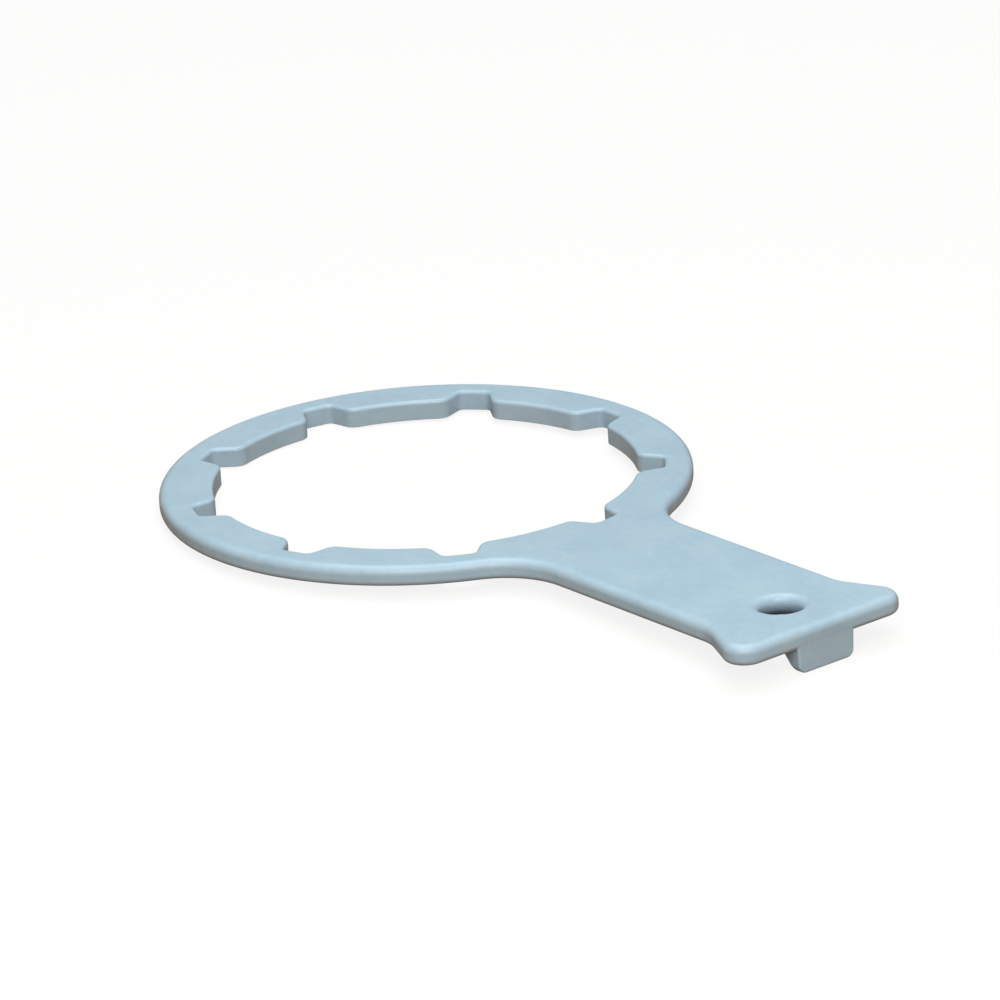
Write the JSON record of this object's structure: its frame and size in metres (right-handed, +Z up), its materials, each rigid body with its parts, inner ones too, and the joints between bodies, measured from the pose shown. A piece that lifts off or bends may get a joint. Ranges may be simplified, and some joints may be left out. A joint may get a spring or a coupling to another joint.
{
  "type": "filter wrench",
  "caption": "Flat plastic wrench for filter housings: a ring notched inside, a fishtail handle with a hang hole, and a wedge lug under its end.",
  "frame": {"origin": "centre of the ring, halfway through the plate", "axes": "+X along the handle, +Z up out of the plate on the side away from the lug, +Y across"},
  "size_m": [0.2442, 0.15, 0.0127],
  "materials": {
    "plastic": "light blue moulded plastic with a soft sheen"
  },
  "bodies": {
    "root": {"wrench": "plastic"}
  },
  "joints": []
}
